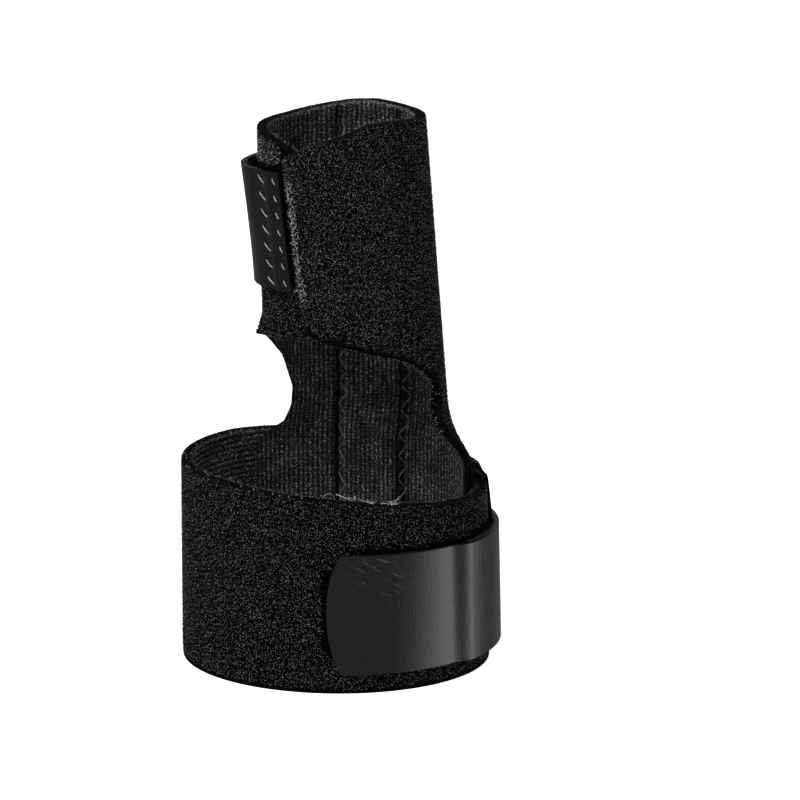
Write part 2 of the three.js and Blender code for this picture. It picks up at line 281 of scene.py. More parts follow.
def oval(centre_x, centre_y, half_width, half_depth, start_x, along, out):
    """Points at a length along an oval, from start_x on its back half, moved out by a distance."""
    parts = np.broadcast_arrays(centre_x, centre_y, half_width, half_depth, along, out)
    shape = parts[0].shape
    cx, cy, a, b, along, out = (np.asarray(p, float).ravel() for p in parts)
    start = np.arcsin(np.clip((start_x - cx) / a, -1, 1))
    turns = start[:, None] + np.linspace(0, 2 * np.pi, OVAL_STEPS + 1)
    x, y = a[:, None] * np.sin(turns), b[:, None] * np.cos(turns)
    lengths = np.zeros_like(x)
    lengths[:, 1:] = np.cumsum(np.hypot(np.diff(x), np.diff(y)), axis=1)
    girth = lengths[:, -1]
    rest = np.mod(along, girth)
    after = np.clip((lengths < rest[:, None]).sum(axis=1), 1, OVAL_STEPS)
    each = np.arange(len(rest))
    low, high = lengths[each, after - 1], lengths[each, after]
    turn = start + 2 * np.pi * (after - 1 + (rest - low) / (high - low)) / OVAL_STEPS
    normal = np.stack([np.sin(turn) / a, np.cos(turn) / b])
    normal /= np.linalg.norm(normal, axis=0)
    px = cx + a * np.sin(turn) + out * normal[0]
    py = cy + b * np.cos(turn) + out * normal[1]
    return px.reshape(shape), py.reshape(shape), girth.reshape(shape)


def loop_plan(z, start_x, along, out):
    """Plan of the loop's first layer at a height."""
    rise = np.clip(np.asarray(z, float) / STRAP_WIDTH, 0, 1)
    half_width = (LOOP_WIDTH - LOOP_TAPER * rise) / 2
    half_depth = (LOOP_DEPTH - LOOP_TAPER * rise) / 2
    x, y, girth = oval(-LOOP_LEAN * rise, 0, half_width, half_depth, start_x, along, out)
    return x, y - (LOOP_SKEW + LOOP_TWIST * rise) * x * 2 / LOOP_WIDTH, girth


def sleeve_plan(z, along, out):
    """Plan of the sleeve's first layer at a height."""
    rise = (np.asarray(z, float) - SLEEVE_BASE) / SLEEVE_LENGTH
    centre = mix(SLEEVE_BASE_CENTRE, SLEEVE_TOP_CENTRE, rise)
    half_width = mix(SLEEVE_BASE_WIDTH, SLEEVE_TOP_WIDTH, rise) / 2
    half_depth = SLEEVE_DEPTH / 2
    return oval(centre, SLEEVE_BACK - half_depth, half_width, half_depth, STAY_LINE, along, out)


LOOP_GIRTH = float(loop_plan(0, LOOP_WIDTH, 0, 0)[2])


def flap_end(z):
    return FLAP_REACH - FLAP_SLANT * np.clip((np.asarray(z, float) - SLEEVE_BASE) / SLEEVE_LENGTH, 0, 1)


def level_height(level):
    return float(np.interp(level, [0, 1, 2, 3], [0, STRAP_WIDTH, WAIST_HEIGHT, SLEEVE_BASE]))


OUTLINE_HEIGHTS = [{**row, "z": level_height(row["level"])} for row in PANEL_OUTLINE]


def panel_reach(z, side, waist, flare):
    """How far the panel reaches to one side of the stay's line at a height."""
    flared = from_table(OUTLINE_HEIGHTS, "z", z, f"{side}_flare")
    flapped = from_table(OUTLINE_HEIGHTS, "z", z, f"{side}_flap")
    return waist + (flare - waist) * flared + (flap_end(z) - waist) * flapped


def rim_height(along):
    return HEIGHT - RIM_FALL * from_table(RIM_OUTLINE, "along", np.asarray(along) / FLAP_REACH, "fall")


def channel_relief(along, z):
    """Rise of the stay's channel above the ribbed face, and the seam grooves beside it."""
    half = CHANNEL_WIDTH / 2
    top = HEIGHT - CHANNEL_INSET
    foot = smooth(z, CHANNEL_BASE, CHANNEL_BASE + CHANNEL_WIDTH / 3)
    ends = foot * (1 - smooth(z, top - CHANNEL_WIDTH / 3, top))
    side = np.abs(along)
    bulge = CHANNEL_RISE * np.sqrt(np.clip(1 - (side / half) ** 4, 0, 1))
    groove = -GROOVE_DEPTH * np.sin(np.pi * np.clip((side - half) / GROOVE_WIDTH, 0, 1))
    return ends * np.where(side < half, bulge, groove)


def panel_points(along, z):
    """Outer and inner points of the panel at lengths from the stay's line and heights."""
    along, z = np.broadcast_arrays(np.asarray(along, float), np.asarray(z, float))
    girth = sleeve_plan(z, along, 0)[2]
    overlap = girth - FLAP_REACH - FABRIC
    corner = CORNER_FLARE * smooth(-along, LEFT_FLARE, LEFT_FLARE + CORNER_STRETCH)
    corner = corner * (1 - smooth(z, WAIST_HEIGHT + CORNER_FADE * FLAP_RISE, SLEEVE_BASE))
    lift = LAYER_LIFT * smooth(along - overlap, -LAP_STRETCH, 0) + corner
    pressed = smooth(along - flap_end(z), -FABRIC, -GAP)
    thickness = mix(FABRIC, SEWN, pressed)
    outer_lift = lift - (FABRIC - thickness)
    depth = thickness + channel_relief(along, z)
    share = smooth(z, STRAP_WIDTH + GAP, WAIST_HEIGHT)

    def placed(out):
        palm_x, palm_y, _ = loop_plan(z, STAY_LINE, along, out - LAYER_LIFT)
        sleeve_x, sleeve_y, _ = sleeve_plan(z, along, out)
        return np.stack([mix(palm_x, sleeve_x, share), mix(palm_y, sleeve_y, share), z], axis=-1)

    return placed(outer_lift), placed(outer_lift - depth)


def strap_points(along, z, out):
    """Points on the loop, by length from its right side towards the front."""
    girth = loop_plan(z, LOOP_WIDTH, 0, 0)[2]
    x, y, _ = loop_plan(z, LOOP_WIDTH, np.asarray(along, float) * girth / LOOP_GIRTH, out)
    return np.stack([x, y, np.broadcast_to(np.asarray(z, float), x.shape)], axis=-1)


def strap_top(along):
    """Height of the strap's upper edge where it isn't narrowed."""
    return STRAP_WIDTH * from_table(STRAP_EDGE, "turn", along / LOOP_GIRTH, "top")


def border_steps(count, border, length):
    """Shares of a length from 0 to 1, with extra ones inside a border at both ends."""
    near = border / length
    return np.unique(np.concatenate([np.linspace(0, 1, count), [near / 3, near, 1 - near, 1 - near / 3]]))


def panel_grid():
    """Outer and inner points of the whole panel, and where they lie on the flat cut."""
    tongue_from = FINGER_TAB_BASE + GAP
    heights = np.concatenate(
        [
            np.linspace(PANEL_BASE, COLLAR_BASE, PANEL_ROWS),
            [row["z"] for row in OUTLINE_HEIGHTS if row["z"] > PANEL_BASE],
            [tongue_from, tongue_from + SHARP],
            np.linspace(COLLAR_BASE, HEIGHT, COLLAR_ROWS),
            [HEIGHT - 0.5, HEIGHT - 0.2],
        ]
    )
    levels = np.unique(np.round(heights, 3))
    left = panel_reach(levels, "left", LEFT_WAIST, LEFT_FLARE)
    right = panel_reach(levels, "right", RIGHT_WAIST, RIGHT_FLARE)
    right = right + np.where(levels > tongue_from + SHARP / 2, TONGUE_REACH, 0)
    core = CHANNEL_WIDTH / 2 + GROOVE_WIDTH + SEAM_MARGIN
    share = border_steps(SIDE_COLUMNS, FABRIC_BORDER, SIDE_LENGTH)[:, None]
    middle = np.repeat(np.linspace(-core, core, CORE_COLUMNS)[1:-1, None], len(levels), axis=1)
    along = np.concatenate([mix(-left, -core, share), middle, mix(core, right, share)]).T
    stretch = (np.maximum(0, levels - COLLAR_BASE) / (HEIGHT - COLLAR_BASE))[:, None]
    z = np.where(stretch > 0, mix(COLLAR_BASE, rim_height(along), stretch), levels[:, None])
    inner = panel_points(along, z)[1]
    edge = -left[:, None]
    turned = TURNED_EDGE * (1 - smooth(z, WAIST_HEIGHT + FLAP_RISE / 2, SLEEVE_BASE))
    drawn = turned * (1 - smooth(along, edge, edge + 3 * TURNED_EDGE))
    outer = panel_points(along + drawn, z)[0]
    return outer, inner, along, z


def strap_grid():
    """Outer and inner points of the whole strap, and where they lie on the flat cut."""
    meeting = LOOP_GIRTH - TUCKED - FABRIC
    pressed_from, pressed_to = meeting - FABRIC, LOOP_GIRTH + HAND_TAB_START - 2 * GAP
    along = np.unique(
        np.concatenate(
            [
                np.linspace(-TUCKED, LOOP_GIRTH + TONGUE, STRAP_COLUMNS),
                np.linspace(pressed_from, pressed_to, PRESSED_COLUMNS),
                np.linspace(LOOP_GIRTH - NARROW_START, LOOP_GIRTH - NARROW_END, NARROW_COLUMNS),
            ]
        )
    )
    share = border_steps(STRAP_ROWS, FABRIC_BORDER, STRAP_WIDTH)[:, None]
    narrowed = smooth(along, LOOP_GIRTH - NARROW_START, LOOP_GIRTH - NARROW_END)
    top = mix(strap_top(along), HAND_TAB_BASE + HAND_TAB_WIDTH - GAP, narrowed)
    z = mix(narrowed * (HAND_TAB_BASE + GAP), top, share)
    along = np.broadcast_to(along, z.shape)
    thickness = mix(FABRIC, SEWN, smooth(along, pressed_from, pressed_to))
    lift = LAYER_LIFT * smooth(along, meeting - LAYER_STEP, meeting) - (FABRIC - thickness)
    return strap_points(along, z, lift), strap_points(along, z, lift - thickness), along, z


def rounded_end(share, amount):
    """How far a tape's end falls back towards its corners."""
    off = 2 * share - 1
    return amount * (1 - np.sqrt(np.maximum(0, 1 - END_ROUNDNESS * off * off)))


def hand_tab_grid():
    share = border_steps(TAB_ROWS, TAPE_BORDER, HAND_TAB_WIDTH)[:, None]
    z = HAND_TAB_BASE + HAND_TAB_WIDTH * share
    end = HAND_TAB_START + HAND_TAB_LENGTH - rounded_end(share, HAND_TAB_ROUND)
    along = mix(HAND_TAB_START, end, border_steps(HAND_TAB_COLUMNS, TAPE_BORDER, HAND_TAB_LENGTH))
    lift = mix(SEWN_LIFT, GAP, smooth(along, TONGUE + GAP, TONGUE + SETTLE))
    z = np.broadcast_to(z, along.shape)
    return strap_points(along, z, lift + TAPE), strap_points(along, z, lift), along, z


def finger_tab_place(along, z, out):
    x, y, _ = sleeve_plan(z, along, out)
    return np.stack([x, y, np.broadcast_to(z, x.shape)], axis=-1)


def finger_tab_lift(along, z):
    """How far the small tab stands off the sleeve: over the tongue first, then bowed."""
    share = (z - FINGER_TAB_BASE) / FINGER_TAB_WIDTH
    start = flap_end(z) + GAP
    free = np.clip((along - start - TONGUE_REACH) / (FINGER_TAB_LENGTH - TONGUE_REACH), 0, 1)
    bow = FINGER_TAB_BOW * np.clip(share, 0, 1) ** BOW_RISE * np.sin(np.pi * np.sqrt(free)) ** 2
    return mix(SEWN_LIFT, GAP, smooth(free, 0, FINGER_TAB_SETTLE)) + bow


def swell(at, height, middle, spread):
    return height * np.exp(-(((at - middle) / spread) ** 2))


def finger_tab_grid():
    share = border_steps(TAB_ROWS, TAPE_BORDER, FINGER_TAB_WIDTH)[:, None]
    z = FINGER_TAB_BASE + FINGER_TAB_WIDTH * share
    start = flap_end(z) + GAP
    end = start + FINGER_TAB_LENGTH - rounded_end(share, FINGER_TAB_ROUND)
    along = mix(start, end, border_steps(FINGER_TAB_COLUMNS, TAPE_BORDER, FINGER_TAB_LENGTH))
    z = np.broadcast_to(z, along.shape)
    lift = finger_tab_lift(along, z)
    sewn = along - flap_end(z) - GAP
    ridge = swell(sewn, **RIDGE) + swell(sewn, **DENT)
    outer = finger_tab_place(along, z, lift + TAPE + ridge)
    return outer, finger_tab_place(along, z, lift), along, z


# Meshes

# Shapes of the fibres: shares of their length and width, then how the tip stands and sways
FIBRE_LENGTHS = (0.5, 1.4)
FIBRE_WIDTHS = (0.6, 1.3)
TIP_RISE = 0.15
TIP_SWAY = 0.5

THREAD_SIDES = 6
THREAD_TIP = 0.6  # share of a thread's radius at its ends


def new_object(name, points, faces, materials):
    """An object from points in the sizes' frame, placed in the row's frame."""
    mesh = bpy.data.meshes.new(name)
    mesh.from_pydata(((np.asarray(points) + SHIFT) * MM).tolist(), [], faces)
    if mesh.validate():
        raise RuntimeError(f"{name} has faces that can't be used")
    obj = bpy.data.objects.new(name, mesh)
    bpy.context.scene.collection.objects.link(obj)
    for material in materials:
        mesh.materials.append(material)
    return obj


def work_on(obj):
    bpy.ops.object.select_all(action="DESELECT")
    obj.select_set(True)
    bpy.context.view_layer.objects.active = obj


def wall(name, grid, materials, ribs_upright=True):
    """A closed wall between two grids of points. Its faces take the outer, inner and edge materials."""
    outer, inner, along, z = grid
    rows, columns = along.shape
    count = rows * columns
    faces, kinds = [], []

    def quad(a, b, c, d, kind):
        faces.append((a, d, c, b))
        kinds.append(kind)

    for row in range(rows - 1):
        for column in range(columns - 1):
            a = row * columns + column
            b, c, d = a + 1, a + columns + 1, a + columns
            quad(a, b, c, d, 0)
            quad(count + a, count + d, count + c, count + b, 1)
    for row in range(rows - 1):
        a, d = row * columns, (row + 1) * columns
        quad(count + a, a, d, count + d, 2)
        b, c = a + columns - 1, d + columns - 1
        quad(b, count + b, count + c, c, 2)
    top = (rows - 1) * columns
    for column in range(columns - 1):
        quad(count + column, count + column + 1, column + 1, column, 2)
        a, b = top + column, top + column + 1
        quad(a, b, count + b, count + a, 2)

    obj = new_object(name, np.concatenate([outer.reshape(-1, 3), inner.reshape(-1, 3)]), faces, materials)
    mesh = obj.data
    flat = (along.ravel(), z.ravel()) if ribs_upright else (z.ravel(), along.ravel())
    corners = np.zeros(len(mesh.loops), dtype=np.int32)
    mesh.loops.foreach_get("vertex_index", corners)
    cloth = np.stack([flat[0][corners % count], flat[1][corners % count]], axis=1)
    mesh.uv_layers.new(name="cloth").data.foreach_set("uv", cloth.astype(np.float32).ravel())
    depth = np.stack([(corners >= count).astype(np.float32), np.zeros(len(corners), np.float32)], axis=1)
    mesh.uv_layers.new(name="depth").data.foreach_set("uv", depth.ravel())
    mesh.polygons.foreach_set("material_index", np.array(kinds, dtype=np.int32))
    work_on(obj)
    bpy.ops.object.mode_set(mode="EDIT")
    bpy.ops.mesh.select_all(action="SELECT")
    bpy.ops.mesh.normals_make_consistent(inside=False)
    bpy.ops.object.mode_set(mode="OBJECT")
    bpy.ops.object.shade_smooth_by_angle(angle=math.radians(40))
    return obj


def fibres(name, grid, material, seed, keep, *, count, length, width, rise, inside=False):
    """Short bent fibres scattered over one side of a wall, where keep says so."""
    outer, inner, along, z = grid
    base = inner if inside else outer
    lean = (inner - outer) if inside else (outer - inner)
    rng = np.random.default_rng(seed)
    first = base[:-1, :-1]
    cell = np.linalg.norm(np.cross(base[1:, :-1] - first, base[:-1, 1:] - first), axis=-1)
    cell = cell * keep(along[:-1, :-1], z[:-1, :-1])
    spread = (np.arange(count) + rng.random(count)) / count
    picks = np.searchsorted(np.cumsum(cell) / cell.sum(), spread)
    row, column = np.unravel_index(np.minimum(picks, cell.size - 1), cell.shape)
    u, v = rng.random((2, count, 1))

    def at(values):
        low = mix(values[row, column], values[row, column + 1], u)
        return mix(low, mix(values[row + 1, column], values[row + 1, column + 1], u), v)

    root = at(base)
    up = at(lean)
    up /= np.maximum(np.linalg.norm(up, axis=1, keepdims=True), 1e-6)
    side = rng.normal(size=(count, 3))
    side -= (side * up).sum(axis=1, keepdims=True) * up
    side /= np.linalg.norm(side, axis=1, keepdims=True)
    across = np.cross(up, side)
    long = length * rng.uniform(*FIBRE_LENGTHS, (count, 1))
    half = width / 2 * rng.uniform(*FIBRE_WIDTHS, (count, 1))
    off = half * across
    middle = root + long / 2 * (rise * up + (1 - rise) * side)
    tip = middle + long / 2 * (TIP_RISE * up + rng.normal(0, TIP_SWAY, (count, 1)) * across + side)
    points = np.stack([root - off, root + off, middle + off, middle - off, tip], axis=1)
    start = np.arange(count)[:, None] * 5
    stems = (start + [0, 1, 2, 3]).tolist()
    tips = (start + [3, 2, 4]).tolist()
    return new_object(name, points.reshape(-1, 3), stems + tips, [material])


def edge_grid(outer, inner, away, along, z):
    """A cut edge as a grid for fibres, away the direction that it faces."""
    face = np.stack([outer, inner])
    return face, face - away, np.stack([along, along]), np.stack([z, z])


def joined(name, parts):
    """Several pieces of fibres as one."""
    work_on(parts[0])
    for part in parts[1:]:
        part.select_set(True)
    bpy.ops.object.join()
    parts[0].name = name
    return parts[0]


def threads(name, paths, radius, material):
    """Round threads along paths of points, all in one mesh."""
    sides = THREAD_SIDES
    turn = np.arange(sides) * 2 * np.pi / sides
    points, faces = [], []
    for path in paths:
        path = np.asarray(path, float)
        ahead = np.gradient(path, axis=0)
        ahead /= np.linalg.norm(ahead, axis=1, keepdims=True)
        up = np.where(np.abs(ahead[:, 2:]) < 0.9, [[0.0, 0.0, 1.0]], [[0.0, 1.0, 0.0]])
        one = np.cross(ahead, up)
        one /= np.linalg.norm(one, axis=1, keepdims=True)
        two = np.cross(ahead, one)
        start = sum(len(p) for p in points)
        taper = np.ones(len(path))
        taper[[0, -1]] = THREAD_TIP
        ring = np.cos(turn)[:, None] * one[:, None] + np.sin(turn)[:, None] * two[:, None]
        points.append((path[:, None] + radius * taper[:, None, None] * ring).reshape(-1, 3))
        for k in range(len(path) - 1):
            for s in range(sides):
                a, b = start + k * sides + s, start + k * sides + (s + 1) % sides
                faces.append((a, b, b + sides, a + sides))
        faces.append(tuple(start + s for s in reversed(range(sides))))
        faces.append(tuple(start + (len(path) - 1) * sides + s for s in range(sides)))
    obj = new_object(name, np.concatenate(points), faces, [material])
    work_on(obj)
    bpy.ops.object.shade_smooth_by_angle(angle=math.radians(60))
    return obj


# Materials

# Greys and finishes of the fibres and threads, from low to high times the grey
FIBRES = {
    "Pile": {"grey": 0.05, "roughness": 0.7, "low": 0.02, "high": 5.5},
    "Edge_pile": {"grey": 0.03, "roughness": 0.7, "low": 0.02, "high": 1.8},
    "Fray": {"grey": 0.32, "roughness": 0.8, "low": 0.6, "high": 1.3},
    "Tuft": {"grey": 0.5, "roughness": 0.8, "low": 0.6, "high": 1.3},
    "Lint": {"grey": 0.3, "roughness": 0.8, "low": 0.6, "high": 1.3},
    "White_lint": {"grey": 0.6, "roughness": 0.8, "low": 0.6, "high": 1.3},
    "Seam_thread": {"grey": 0.15, "roughness": 0.6, "low": 0.6, "high": 1.3},
    "Dark_thread": {"grey": 0.02, "roughness": 0.6, "low": 0.6, "high": 1.3},
    # The small tab's stitch thread is dark; its pale grey here is a painted glint.
    "Painted_glint_thread": {"grey": 0.3, "roughness": 0.6, "low": 0.6, "high": 1.3},
    "Hooks": {"grey": 0.09, "roughness": 0.5, "low": 0.6, "high": 1.3},
}

# Ribbed knit, in millimetres on the cloth
RIB_PITCH = 1.15
STITCH_ROW = 0.7
STITCH_LEAN = 3.0  # how far a row of stitches is drawn up at the ribs, in radians of its wave
PAINTED_SHADE_LEFT = 1.0  # how far the painted shade of the seam grooves lies to their left
PANEL_KNIT_GREY = 0.31
STRAP_KNIT_GREY = 0.46

# Scratches near the large tab's upper left corner, in millimetres on the cloth
SCRATCHED = (34.0, 26.5, 0.0)
SCRATCH_SLANT = math.radians(27)
SCRATCH_SIZE = (5.0, 0.3, 1.0)

LARGE_TAB_SHINE = 0.42
SMALL_TAB_SHINE = 0.12


def shader(name):
    """A new material of that name with its nodes and its shader, or the finished one without them."""
    material = bpy.data.materials.get(name)
    if material is not None:
        return material, None, None
    material = bpy.data.materials.new(name)
    material.use_nodes = True
    return material, material.node_tree, material.node_tree.nodes["Principled BSDF"]


def add(tree, kind, **values):
    made = tree.nodes.new(kind)
    for key, value in values.items():
        setattr(made, key, value)
    return made


def maths(tree, operation, a, b):
    """A maths node. Its inputs are sockets or numbers."""
    made = add(tree, "ShaderNodeMath", operation=operation)
    for socket, value in zip(made.inputs, (a, b)):
        if isinstance(value, (int, float)):
            socket.default_value = value
        else:
            tree.links.new(value, socket)
    return made.outputs[0]


def between(tree, share, low, high):
    """A value between two others, by a share from 0 to 1."""
    made = add(tree, "ShaderNodeMapRange")
    tree.links.new(share, made.inputs["Value"])
    made.inputs["To Min"].default_value = low
    made.inputs["To Max"].default_value = high
    return made.outputs["Result"]


def step(tree, value, low, high, start=0.0, end=1.0):
    """A smooth step from start to end, while a value goes from low to high."""
    made = add(tree, "ShaderNodeMapRange", interpolation_type="SMOOTHSTEP")
    tree.links.new(value, made.inputs["Value"])
    for key, number in (("From Min", low), ("From Max", high), ("To Min", start), ("To Max", end)):
        made.inputs[key].default_value = number
    return made.outputs["Result"]


def share_of(tree, wave):
    """A wave from -1 to 1 as a share from 0 to 1."""
    return maths(tree, "ADD", maths(tree, "MULTIPLY", wave, 0.5), 0.5)


def noise_at(tree, coordinate, scale, detail=3.0, stretch=None):
    """Fine noise, its centre at a half."""
    if stretch is not None:
        mapping = add(tree, "ShaderNodeMapping")
        mapping.inputs["Scale"].default_value = stretch
        tree.links.new(coordinate, mapping.inputs["Vector"])
        coordinate = mapping.outputs["Vector"]
    made = add(tree, "ShaderNodeTexNoise")
    made.inputs["Scale"].default_value = scale
    made.inputs["Detail"].default_value = detail
    tree.links.new(coordinate, made.inputs["Vector"])
    return made.outputs["Fac"]


def lint_group():
    """Scattered pale lint for every fabric: a grey and a height, from a position."""
    group = bpy.data.node_groups.get("Lint")
    if group is not None:
        return group
    group = bpy.data.node_groups.new("Lint", "ShaderNodeTree")
    face = group.interface
    face.new_socket("Position", in_out="INPUT", socket_type="NodeSocketVector")
    dark = face.new_socket("Dark", in_out="INPUT", socket_type="NodeSocketFloat")
    pale = face.new_socket("Pale", in_out="INPUT", socket_type="NodeSocketFloat")
    dark.default_value, pale.default_value = 0.004, 0.03
    face.new_socket("Colour", in_out="OUTPUT", socket_type="NodeSocketFloat")
    face.new_socket("Height", in_out="OUTPUT", socket_type="NodeSocketFloat")
    start = add(group, "NodeGroupInput")
    end = add(group, "NodeGroupOutput")
    position = start.outputs["Position"]
    fine = noise_at(group, position, 3400, 4)
    broad = noise_at(group, position, 260, 2)
    both = maths(group, "ADD", maths(group, "MULTIPLY", fine, 0.85), maths(group, "MULTIPLY", broad, 0.15))
    colour = add(group, "ShaderNodeMapRange")
    group.links.new(step(group, both, 0.5, 0.72), colour.inputs["Value"])
    group.links.new(start.outputs["Dark"], colour.inputs["To Min"])
    group.links.new(start.outputs["Pale"], colour.inputs["To Max"])
    group.links.new(colour.outputs["Result"], end.inputs["Colour"])
    group.links.new(fine, end.inputs["Height"])
    return group


def add_lint(tree, dark, pale):
    """The lint group in a material, read at the piece's own place."""
    place = add(tree, "ShaderNodeTexCoord")
    made = add(tree, "ShaderNodeGroup", node_tree=lint_group())
    tree.links.new(place.outputs["Object"], made.inputs["Position"])
    made.inputs["Dark"].default_value = dark
    made.inputs["Pale"].default_value = pale
    return made


def add_bump(tree, height, distance, strength, surface):
    bump = add(tree, "ShaderNodeBump")
    bump.inputs["Distance"].default_value = distance
    bump.inputs["Strength"].default_value = strength
    tree.links.new(height, bump.inputs["Height"])
    tree.links.new(bump.outputs["Normal"], surface.inputs["Normal"])


def plush():
    """Brushed black ground under the pile."""
    material, tree, surface = shader("Plush")
    if tree is None:
        return material
    lint = add_lint(tree, 0.0006, 0.006)
    tree.links.new(lint.outputs["Colour"], surface.inputs["Base Color"])
    surface.inputs["Roughness"].default_value = 0.95
    surface.inputs["Specular IOR Level"].default_value = 0.03
    add_bump(tree, lint.outputs["Height"], 0.0006, 0.9, surface)
    return material


def plain(name):
    """A plain speckled material for fibres or threads."""
    material, tree, surface = shader(name)
    if tree is None:
        return material
    look = FIBRES[name]
    place = add(tree, "ShaderNodeTexCoord")
    speck = step(tree, noise_at(tree, place.outputs["Object"], 4400, 1), 0.5, 0.66)
    shade = between(tree, speck, look["grey"] * look["low"], look["grey"] * look["high"])
    tree.links.new(shade, surface.inputs["Base Color"])
    surface.inputs["Roughness"].default_value = look["roughness"]
    surface.inputs["Specular IOR Level"].default_value = 0.1
    return material


def painted_groove_shade(tree, across):
    """Painted shade: dark in the two seam grooves, by the place across the panel."""
    off_middle = maths(tree, "ABSOLUTE", maths(tree, "ADD", across, PAINTED_SHADE_LEFT), 0.0)
    off_seam = maths(tree, "SUBTRACT", off_middle, CHANNEL_WIDTH / 2 + 0.1)
    return step(tree, maths(tree, "ABSOLUTE", off_seam, 0.0), 0.3, 1.2, start=0.25)


def knit(name, pale, shade_grooves):
    """Ribbed knit: ribs across the first coordinate of the cloth map, stitches up the second."""
    material, tree, surface = shader(name)
    if tree is None:
        return material
    cloth = add(tree, "ShaderNodeUVMap", uv_map="cloth").outputs["UV"]
    parts = add(tree, "ShaderNodeSeparateXYZ")
    tree.links.new(cloth, parts.inputs["Vector"])
    across, up = parts.outputs["X"], parts.outputs["Y"]
    wobble = maths(tree, "MULTIPLY", noise_at(tree, cloth, 0.35, 2), 0.5)
    ribs = maths(tree, "MULTIPLY", maths(tree, "ADD", across, wobble), 2 * math.pi / RIB_PITCH)
    rib = maths(tree, "SINE", ribs, 0.0)
    lean = maths(tree, "MULTIPLY", maths(tree, "ABSOLUTE", rib, 0.0), STITCH_LEAN)
    rows = maths(tree, "MULTIPLY", up, 2 * math.pi / STITCH_ROW)
    stitch = maths(tree, "SINE", maths(tree, "ADD", rows, lean), 0.0)
    height = maths(tree, "ADD", maths(tree, "MULTIPLY", rib, 0.35), maths(tree, "MULTIPLY", stitch, 0.16))
    lint = add_lint(tree, 0.016, pale)
    height = maths(tree, "ADD", height, maths(tree, "MULTIPLY", lint.outputs["Height"], 0.9))
    shade = maths(tree, "MULTIPLY", lint.outputs["Colour"], between(tree, share_of(tree, rib), 0.25, 1.6))
    shade = maths(tree, "MULTIPLY", shade, between(tree, share_of(tree, stitch), 0.65, 1.35))
    # Painted shade darkens the knit beside the channel's seam grooves.
    if shade_grooves:
        shade = maths(tree, "MULTIPLY", shade, painted_groove_shade(tree, across))
    tree.links.new(shade, surface.inputs["Base Color"])
    surface.inputs["Roughness"].default_value = 0.9
    surface.inputs["Specular IOR Level"].default_value = 0.08
    add_bump(tree, height, 0.0004, 0.8, surface)
    return material


def cut_edge():
    """The cut edge: pile, a dark foam core and the knit's pale fray."""
    material, tree, surface = shader("Cut_edge")
    if tree is None:
        return material
    depth = add(tree, "ShaderNodeUVMap", uv_map="depth")
    parts = add(tree, "ShaderNodeSeparateXYZ")
    tree.links.new(depth.outputs["UV"], parts.inputs["Vector"])
    layers = add(tree, "ShaderNodeValToRGB")
    layers.color_ramp.interpolation = "LINEAR"
    stops = [(0.0, 0.006), (0.22, 0.004), (0.3, 0.001), (0.76, 0.001), (0.88, 0.02), (1.0, 0.04)]
    ramp = layers.color_ramp.elements
    for place, _ in stops[1:-1]:
        ramp.new(place)
    for element, (place, grey) in zip(ramp, stops):
        element.position, element.color = place, (grey, grey, grey, 1)
    tree.links.new(parts.outputs["X"], layers.inputs["Fac"])
    lint = add_lint(tree, 0.5, 1.6)
    shade = add(tree, "ShaderNodeMix", data_type="RGBA", blend_type="MULTIPLY")
    shade.inputs["Factor"].default_value = 1.0
    tree.links.new(layers.outputs["Color"], shade.inputs[6])
    tree.links.new(lint.outputs["Colour"], shade.inputs[7])
    tree.links.new(shade.outputs[2], surface.inputs["Base Color"])
    surface.inputs["Roughness"].default_value = 0.95
    surface.inputs["Specular IOR Level"].default_value = 0.03
    add_bump(tree, lint.outputs["Height"], 0.0005, 0.8, surface)
    return material


def satin(name, shine):
    """Smooth woven hook tape, with a fine upright grain and light scratches near one corner."""
    material, tree, surface = shader(name)
    if tree is None:
        return material
    cloth = add(tree, "ShaderNodeUVMap", uv_map="cloth").outputs["UV"]
    grain = noise_at(tree, cloth, 1.0, 4, stretch=(5.0, 0.35, 1.0))
    weave = noise_at(tree, cloth, 7.0, 2)
    slanted = add(tree, "ShaderNodeMapping", vector_type="TEXTURE")
    slanted.inputs["Rotation"].default_value = (0, 0, SCRATCH_SLANT)
    slanted.inputs["Scale"].default_value = SCRATCH_SIZE
    tree.links.new(cloth, slanted.inputs["Vector"])
    scratch = step(tree, noise_at(tree, slanted.outputs["Vector"], 1.0, 1), 0.62, 0.7)
    away = add(tree, "ShaderNodeVectorMath", operation="DISTANCE")
    tree.links.new(cloth, away.inputs[0])
    away.inputs[1].default_value = SCRATCHED
    marks = maths(tree, "MULTIPLY", scratch, step(tree, away.outputs["Value"], 8.0, 4.0))
    shade = maths(tree, "ADD", between(tree, grain, 0.004, 0.009), maths(tree, "MULTIPLY", marks, 0.05))
    tree.links.new(shade, surface.inputs["Base Color"])
    tree.links.new(between(tree, grain, 0.22, 0.36), surface.inputs["Roughness"])
    surface.inputs["Specular IOR Level"].default_value = shine
    height = maths(tree, "ADD", maths(tree, "MULTIPLY", grain, 0.7), maths(tree, "MULTIPLY", weave, 0.3))
    add_bump(tree, height, 0.00012, 0.5, surface)
    return material


# Pieces

# Fibres: millimetres, and how steeply they rise, from 0 to 1
PILE_RISE = 0.5
EDGE_RISE = 0.6
RIM_FIBRES = 2200
RIGHT_EDGE_FIBRES = 1200
TUFT = {"length": 0.7, "width": 0.1, "rise": 0.6}
FRAY = {"width": 0.07, "rise": 0.35}
HOOK = {"width": 0.1, "rise": 0.7}

# Strips without pile: at the right flap's lower edge, round the tabs and above the floor
BARE_EDGE = 0.9
BARE_BESIDE = 0.6
BARE_ABOVE = 0.5
BARE_FOOT = 0.7

# Zigzag seams: slack of a stroke, its depth in the cloth and how far it stands off each face
SEAM_START = 2
STROKE_POINTS = 7
STROKE_SLACK = 0.12
STROKE_SUNK = 0.05
SEAM_RAISED = 0.16
BACK_RAISED = -0.3

